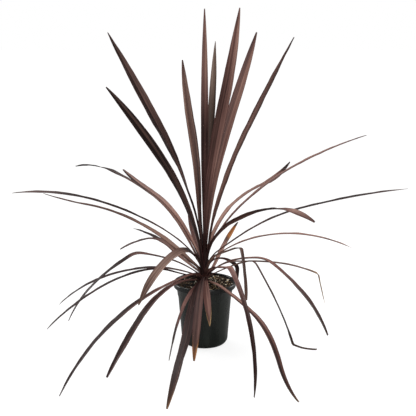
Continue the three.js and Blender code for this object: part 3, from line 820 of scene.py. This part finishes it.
def pot_profile():
    """The outside, from the underside up to the lip, then the inside, down to the floor."""
    lip_bottom = POT_HEIGHT - LIP_DEPTH
    collar_bottom = lip_bottom - COLLAR_DEPTH
    body_top = inner_radius(collar_bottom) + POT_WALL
    lip_centre = LIP_RADIUS - LIP_ROUND
    inner_foot = inner_radius(FOOT_ROUND) - FOOT_ROUND + POT_WALL
    body = [
        (between(FOOT_RADIUS, body_top, share), between(FOOT_ROUND, collar_bottom, share))
        for share in np.linspace(0, 1, 16)[1:]
    ]
    wall = [(inner_radius(height), height) for height in np.linspace(lip_bottom, FOOT_ROUND, 10)]
    return [
        *arc(FOOT_RADIUS - FOOT_ROUND, FOOT_ROUND, FOOT_ROUND, -90, 0, 14),
        *body,
        (body_top + COLLAR_STEP * 0.85, collar_bottom + COLLAR_STEP * 0.4),
        (body_top + COLLAR_STEP, collar_bottom + COLLAR_STEP),
        (COLLAR_TOP_RADIUS - 0.2, lip_bottom - 1.0),
        (COLLAR_TOP_RADIUS + 0.6, lip_bottom - 0.1),
        *arc(lip_centre, lip_bottom + LIP_ROUND / 2, LIP_ROUND, -60, 0, 5),
        *arc(lip_centre, POT_HEIGHT - LIP_ROUND, LIP_ROUND, 0, 180, 14),
        (lip_centre - LIP_ROUND, POT_HEIGHT - LIP_ROUND * 2),
        *wall,
        *arc(inner_foot, FOOT_ROUND, FOOT_ROUND - POT_FLOOR, 0, -90, 10)[1:],
    ]


def drain_cutter(index):
    """An oval rod that cuts one drain hole at a slant through the rounded foot."""
    steps = 32
    turn = (index + 0.5) * math.tau / DRAIN_COUNT
    slant = math.radians(DRAIN_SLANT)
    points = []
    for end in (-FOOT_ROUND, FOOT_ROUND):
        for step in range(steps):
            angle = step * math.tau / steps
            side = DRAIN_RADIUS * DRAIN_STRETCH * math.sin(angle)
            rise = DRAIN_RADIUS * math.cos(angle)
            radius = FOOT_RADIUS - DRAIN_HEIGHT + end * math.cos(slant) + rise * math.sin(slant)
            height = DRAIN_HEIGHT - end * math.sin(slant) + rise * math.cos(slant)
            points.append((*spun(radius, side, turn), height))
    return points, turned_faces(2, steps)


def make_pot():
    """The turned pot, with its drain holes cut."""
    profile = pot_profile()
    points = turned_points(profile, POT_SIDES)
    pot = make_mesh("pot_moulded", points, turned_faces(len(profile), POT_SIDES), pot_material())
    cutter_points, cutter_faces = [], []
    for index in range(DRAIN_COUNT):
        points, faces = drain_cutter(index)
        shift = len(cutter_points)
        cutter_points += points
        cutter_faces += [tuple(corner + shift for corner in face) for face in faces]
    cutter = make_mesh("drain_cutter", cutter_points, cutter_faces, pot.data.materials[0])
    for mesh in (pot.data, cutter.data):
        mesh.validate()
    cut = pot.modifiers.new("drains", "BOOLEAN")
    cut.operation = "DIFFERENCE"
    cut.solver = "EXACT"
    cut.object = cutter
    bpy.context.view_layer.update()
    shaped = pot.evaluated_get(bpy.context.evaluated_depsgraph_get())
    pot.data = bpy.data.meshes.new_from_object(shaped)
    pot.modifiers.clear()
    bpy.data.objects.remove(cutter)
    smooth(pot.data, sharp_angle=35)
    seat(pot, "pot_plastic", "pot")


# Leaves


def stem_radius(height):
    return np.interp(height, [STEM_SHOULDER, STEM_TOP], [STEM_RADIUS, STEM_TOP_RADIUS])


def heading(leaf, share):
    """Which way the midrib points at a share of its length, in radians round from +X."""
    return np.radians(leaf.turn + value_at(leaf.veer, share))


def leaf_path(leaf):
    """The midrib from the foot of its sheath to the tip: lengths along it from the seat, and places."""
    share = np.linspace(0, 1, PATH_STEPS + 1)
    middle = (share[1:] + share[:-1]) / 2
    rise = np.radians(value_at(leaf.bend, middle))
    swing = heading(leaf, middle)
    outward = np.stack([np.cos(swing), np.sin(swing), swing * 0], axis=1)
    along = outward * np.cos(rise)[:, None] + UP * np.sin(rise)[:, None]
    turn = math.radians(leaf.turn)
    away = np.array([math.cos(turn), math.sin(turn), 0])
    first = math.radians(leaf.bend[0][1])
    reach = stem_radius(leaf.seat) + ROOT_CLEAR * math.sin(first) - ROOT_DEPTH * math.cos(first)
    start = away * reach + UP * leaf.seat
    steps = along * leaf.length / PATH_STEPS
    places = np.vstack([start, start + np.cumsum(steps, axis=0)])
    lengths = share * leaf.length

    # The sheath is a curve that climbs the stem and runs into the midrib
    join = int(np.searchsorted(lengths, SHEATH_JOIN))
    foot_height = leaf.seat - SHEATH_LENGTH
    foot = away * (stem_radius(foot_height) + SHEATH_CLEAR) + UP * foot_height
    handle = (SHEATH_LENGTH + SHEATH_JOIN) * SHEATH_HANDLE
    t = np.linspace(0, 1, SHEATH_STEPS, endpoint=False)[:, None]
    sheath = (
        foot * (1 - t) ** 3
        + (foot + UP * handle) * 3 * t * (1 - t) ** 2
        + (places[join] - along[join] * handle) * 3 * t**2 * (1 - t)
        + places[join] * t**3
    )
    sheath_lengths = -SHEATH_LENGTH + t[:, 0] * (SHEATH_LENGTH + lengths[join])
    return np.concatenate([sheath_lengths, lengths[join:]]), np.vstack([sheath, places[join:]])


def ring_lengths(leaf, lengths, places):
    """Lengths at which the blade has a ring: closer where it bends, and at the tip."""
    along = unit(np.gradient(places, axis=0))
    turned_by = np.concatenate([[0], np.arccos(np.clip((along[1:] * along[:-1]).sum(1), -1, 1))])
    density = np.gradient(lengths) / leaf.length + turned_by * RINGS_IN_BENDS
    density += smoothstep(lengths / leaf.length, 0.92, 1) * RINGS_AT_TIP
    total = np.cumsum(density)
    return np.interp(np.linspace(total[0], total[-1], BLADE_RINGS), total, lengths)


def blade_half_width(leaf, lengths):
    """Half the blade's width at lengths along it, from the clasp round the stem to the tip."""
    share = np.clip(lengths / leaf.length, 0, 1)
    root = leaf.root or min(ROOT_WIDTH, leaf.width * 0.7)
    growing = between(root, leaf.width, smoothstep(share, 0, leaf.widest))
    taper = np.clip((share - leaf.widest) / (1 - leaf.widest), 0, 1) ** TAPER_POWER
    narrowing = between(leaf.width, leaf.tip, taper)
    clasp = 1 - smoothstep(lengths, -SHEATH_LENGTH * 0.4, SHEATH_JOIN * 2)
    return (np.where(share < leaf.widest, growing, narrowing) + (SHEATH_WIDTH - root) * clasp) / 2


def waves(lengths, rng, longest):
    """A gentle, aperiodic wave of about one either way along a leaf."""
    total = np.zeros_like(lengths)
    for finer, fainter in ((1.0, 1), (1.73, 1.6), (2.9, 2.6)):
        phase = rng.uniform(0, math.tau)
        pitch = longest / finer * rng.uniform(0.85, 1.15)
        total += np.sin(lengths / pitch * math.tau + phase) / fainter
    return total / 1.6


def blade_rings(leaf, lengths, places, rng):
    """The rings round a blade: their lengths along it, half widths and corners, and for each corner
    its spot across the blade, -1 to 1, and its face, 1 on top and 0 underneath."""
    at = ring_lengths(leaf, lengths, places)

    def at_rings(values):
        return np.stack([np.interp(at, lengths, values[:, axis]) for axis in range(3)], axis=1)

    centre = at_rings(places)
    along = unit(at_rings(unit(np.gradient(places, lengths, axis=0))))
    share = np.clip(at / leaf.length, 0, 1)
    swing = heading(leaf, share)
    sideways = np.stack([-np.sin(swing), np.cos(swing), swing * 0], axis=1)
    sideways = unit(sideways - along * (along * sideways).sum(1, keepdims=True))
    roll = np.radians(value_at(leaf.twist, share))
    roll = roll + np.radians(ROLL_WAVE) * waves(at, rng, ROLL_PITCH) * smoothstep(at, 0, 80)
    lifted = np.cross(along, sideways)
    side = sideways * np.cos(roll)[:, None] + lifted * np.sin(roll)[:, None]
    upper = np.cross(along, side)

    # The blade is a shallow trough, which wraps round the stem at its foot and has wavy margins
    half = blade_half_width(leaf, at)[:, None]
    across = np.array([-a for a in ACROSS_HALF[::-1]] + [0.0] + list(ACROSS_HALF))[None, :]
    grown = np.minimum(1, share / WIDEST_AT)[:, None]
    channel = np.radians(between(ROOT_CHANNEL, BLADE_CHANNEL, grown**0.7))
    wrap_radius = stem_radius(leaf.seat) + WRAP_CLEAR
    wrapped = half * across / wrap_radius
    clasp = (1 - smoothstep(at, -SHEATH_LENGTH * 0.2, SHEATH_JOIN * 2.2))[:, None]
    level = between(half * across * np.cos(channel), wrap_radius * np.sin(wrapped), clasp)
    trough = half * np.abs(across) ** 1.15 * np.sin(channel)
    lift = between(trough, wrap_radius * (1 - np.cos(wrapped)), clasp)
    left_wave, right_wave = [waves(at, rng, pitch)[:, None] for pitch in MARGIN_PITCHES]
    margin_wave = np.where(across < 0, left_wave, right_wave)
    lift = lift + margin_wave * np.abs(across) ** 2 * MARGIN_WAVE * smoothstep(at, 20, 120)[:, None]

    # It thins to its margins, with a keel under the midrib and a groove over it
    rib = between(RIB_ROOT, RIB_TIP, grown) * np.minimum(1, half / 3)
    thickness = between(BLADE_EDGE, rib, (1 - np.abs(across)) ** 0.8)
    narrowed = np.minimum(1, half / 4)
    keel = between(KEEL_ROOT, KEEL_TIP, grown) * np.exp(-((across / KEEL_SPREAD) ** 2)) * narrowed
    groove = GROOVE_DEPTH * np.exp(-((across / GROOVE_SPREAD) ** 2)) * narrowed

    def lay(level_part, lift_part):
        across_blade = side[:, None] * level_part[..., None]
        return centre[:, None] + across_blade + upper[:, None] * lift_part[..., None]

    top = lay(level, lift + thickness - groove)
    bottom = lay(level, lift - thickness - keel)[:, ::-1]
    right = lay(level[:, -1:] + MARGIN_ROUND, lift[:, -1:])
    left = lay(level[:, :1] - MARGIN_ROUND, lift[:, :1])
    corners = np.concatenate([top, right, bottom, left], axis=1)
    count = across.shape[1]
    spot = np.concatenate([across[0], [1], across[0][::-1], [-1]])
    face = np.concatenate([np.ones(count), [0.5], np.zeros(count), [0.5]])
    return at, half, corners, spot, face


def strip_faces(rings, corners):
    """Faces round a blade, with both ends closed from edge to edge."""
    faces = [(a, d, c, b) for a, b, c, d in ring_faces(rings, corners)]
    top = corners // 2 - 1
    last = (rings - 1) * corners
    for j in range(top - 1):
        under = corners - 2 - j
        faces.append((j, j + 1, under - 1, under))
        faces.append((last + j, last + under, last + under - 1, last + j + 1))
    faces.append((top - 1, top, top + 1))
    faces.append((last + top - 1, last + top + 1, last + top))
    faces.append((0, corners - 2, corners - 1))
    faces.append((last, last + corners - 1, last + corners - 2))
    return faces


def make_leaf(name, leaf, material, slot, rng, node):
    """One leaf, with the numbers that its material reads at each point."""
    at, half, corners, spot, face = blade_rings(leaf, *leaf_path(leaf), rng)
    shape = corners.shape[:2]
    piece = make_mesh(name, corners.reshape(-1, 3), strip_faces(*shape), material, sharp_angle=50)
    seed = rng.uniform(0, 40)
    at = at[:, None]
    share = at / leaf.length
    looks = {
        "blade": (half * spot * MM, at * MM, seed + face * 3),
        "span": (spot, share, face),
        "look": (value_at(leaf.shade, share), leaf.tint, leaf.painted_half_shade),
        "wear": (leaf.dry, leaf.edge, leaf.rust),
    }
    for look, parts in looks.items():
        add_vectors(piece, look, np.stack([np.broadcast_to(part, shape) for part in parts], axis=2))
    seat(piece, slot, node)


def make_leaves():
    materials = {tone: leaf_material(tone) for tone in LEAF_ROUGHNESS}
    for group, leaves in LEAF_GROUPS:
        for number, leaf in enumerate(leaves, 1):
            node = f"{group}_{number}"
            rng = np.random.default_rng([number, len(group), leaf.turn])
            make_leaf(node + "_blade", leaf, materials[leaf.tone], "leaf_" + leaf.tone, rng, node)


# Stem and soil


def make_stem():
    """The stalk, with low rings where old leaves fell and soft ridges that wind round it."""
    sides, step = 64, 0.75
    ridges, ridge_depth, winding = 5, 0.03, 0.11
    heights = np.arange(STEM_FOOT, STEM_TOP + 0.01, step)
    rings = STEM_RING_DEPTH * np.abs(np.sin(heights * math.pi / STEM_RING_PITCH)) ** 3
    profile = list(zip(stem_radius(heights) - STEM_BARK_GAP + rings, heights))
    points = np.array(turned_points(profile, sides))
    round_stem = np.arange(len(points)) % sides * ridges * math.tau / sides
    points[:, :2] *= 1 + ridge_depth * np.sin(round_stem + points[:, 2] * winding)[:, None]
    faces = turned_faces(len(profile), sides)
    seat(make_mesh("stem_stalk", points, faces, stem_material()), "stem_bark", "stem")


def soil_height(x, y):
    """The soil's top at a place: a shallow dish with five waves of each pitch."""
    wall = flared_radius(SOIL_EDGE_HEIGHT) - SOIL_GAP
    from_wall = np.clip(wall - np.hypot(x, y), 0, wall)
    crumbs = np.zeros_like(from_wall)
    rng = np.random.default_rng(11)
    for pitch, depth in SOIL_CRUMBS:
        for _ in range(5):
            turn = rng.uniform(0, math.tau)
            shift = rng.uniform(0, math.tau)
            wavelength = pitch * rng.uniform(0.8, 1.25)
            across = x * math.cos(turn) + y * math.sin(turn)
            crumbs += depth * 0.45 * np.sin(across * math.tau / wavelength + shift)
    settled = np.minimum(1, from_wall / SMOOTH_EDGE)
    return SOIL_EDGE_HEIGHT - SOIL_DISH * (from_wall / wall) ** 2 + crumbs * settled


def make_soil():
    """The mix as one closed piece: its side along the pot's wall, and a crumbly top."""
    sides, rings, innermost = 300, 96, 2.0
    wall = flared_radius(SOIL_EDGE_HEIGHT) - SOIL_GAP
    foot = inner_radius(FOOT_ROUND) - SOIL_GAP
    shoulder = POT_HEIGHT - LIP_DEPTH
    side_profile = [
        (foot - FOOT_ROUND, POT_FLOOR + SOIL_GAP),
        (foot, FOOT_ROUND + SOIL_GAP),
        (inner_radius(shoulder) - SOIL_GAP, shoulder),
    ]
    points = turned_points(side_profile, sides)
    angles = np.arange(sides) * math.tau / sides
    for radius in np.linspace(wall, innermost, rings):
        x, y = radius * np.cos(angles), radius * np.sin(angles)
        points += np.stack([x, y, soil_height(x, y)], axis=1).tolist()
    faces = turned_faces(len(side_profile) + rings, sides)
    seat(make_mesh("soil_mix", points, faces, soil_material(), sharp_angle=180), "potting_soil", "soil")


def make_scattered(name, material, count, sizes, flatness, to_right, seed):
    """Small angular lumps half sunk in the soil, more of them to the right."""
    rng = np.random.default_rng(seed)
    points, faces, shades = [], [], []
    block = [(0, 3, 2, 1), (4, 5, 6, 7), (0, 1, 5, 4), (1, 2, 6, 5), (2, 3, 7, 6), (3, 0, 4, 7)]
    square = ((-1, -1), (1, -1), (1, 1), (-1, 1))
    corners = np.array([(x, y, z) for z in (-1, 1) for x, y in square])
    room = flared_radius(SOIL_EDGE_HEIGHT) - CHIP_MARGIN
    while len(shades) < count * len(corners):
        radius = room * math.sqrt(rng.uniform(0.03, 1))
        turn = rng.uniform(0, math.tau)
        x, y = radius * math.cos(turn), radius * math.sin(turn)
        if rng.uniform(-1, 1) * room > room * (1 - to_right) + x * to_right:
            continue
        size = rng.uniform(*sizes) / 2
        chipped = corners * rng.uniform(0.55, 1.0, (8, 3))
        long, wide, tall = (chipped * (size, size * rng.uniform(0.35, 0.8), size * flatness)).T
        long, wide = spun(long, wide, rng.uniform(0, math.pi))
        tall = tall + long * rng.uniform(-0.5, 0.5)
        height = float(soil_height(np.array(x), np.array(y))) + size * flatness * CHIP_RISE
        start = len(points)
        points += np.stack([long + x, wide + y, tall + height], axis=1).tolist()
        faces += [tuple(start + corner for corner in face) for face in block]
        shades += [(rng.uniform(0, 1), 0, 0)] * len(corners)
    piece = make_mesh(name, points, faces, material, sharp_angle=30)
    add_vectors(piece, "shade", shades)
    seat(piece, "potting_soil")


# Stage


def make_stage():
    """A wide white floor just under the pot, in a white room."""
    half, low = FLOOR_HALF, -FLOOR_DROP
    points = [(-half, -half, low), (half, -half, low), (half, half, low), (-half, half, low)]
    make_mesh("floor", points, [(0, 1, 2, 3)], floor_material())
    world = bpy.data.worlds.new("studio")
    bpy.context.scene.world = world
    world.use_nodes = True
    shown = world.node_tree.nodes["Background"]
    lit = world.node_tree.nodes.new("ShaderNodeBackground")
    for background, strength in ((shown, 1.0), (lit, ROOM_LIGHT)):
        background.inputs["Color"].default_value = WHITE
        background.inputs["Strength"].default_value = strength
    show_apart(world.node_tree, "World Output", shown, lit)
    bpy.context.scene.view_settings.view_transform = "Standard"


def place_light(light, place, target):
    """Puts a light at a place and points it at a target, both in metres."""
    thing = add_object(light.name, light)
    back = unit(np.array(place, dtype=float) - np.array(target, dtype=float))
    thing.location = place
    thing.rotation_euler = (math.acos(back[2]), 0, math.atan2(back[1], back[0]) + math.pi / 2)


def make_lights():
    sky = bpy.data.lights.new("sky_light", "SUN")
    sky.energy = SKY_LIGHT
    sky.angle = math.radians(SKY_SOFTNESS)
    place_light(sky, SKY_PLACE, (0, 0, 0))
    for name, place, size, power in PANELS:
        panel = bpy.data.lights.new(name, "AREA")
        panel.shape = "RECTANGLE"
        panel.size, panel.size_y = size
        panel.energy = power
        place_light(panel, place, PANEL_TARGET)


def make_camera():
    data = bpy.data.cameras.new("photo_camera")
    data.lens = CAMERA_LENS
    data.sensor_width = CAMERA_SENSOR
    data.clip_end = 100
    camera = add_object("photo_camera", data)
    camera.location = CAMERA_PLACE
    camera.rotation_euler = (math.radians(90 - CAMERA_PITCH), 0, 0)
    bpy.context.scene.camera = camera


make_camera()
make_pot()
make_soil()
bark = chip_material("bark_chip", CHIP_DARK, CHIP_LIGHT)
grit = chip_material("pale_grit", GRIT_DARK, GRIT_LIGHT)
make_scattered("bark_chips", bark, count=420, sizes=(2.5, 9), flatness=0.4, to_right=0, seed=21)
make_scattered("pale_grit", grit, count=150, sizes=(2, 4.4), flatness=0.7, to_right=0.9, seed=22)
make_stem()
make_leaves()
make_stage()
make_lights()
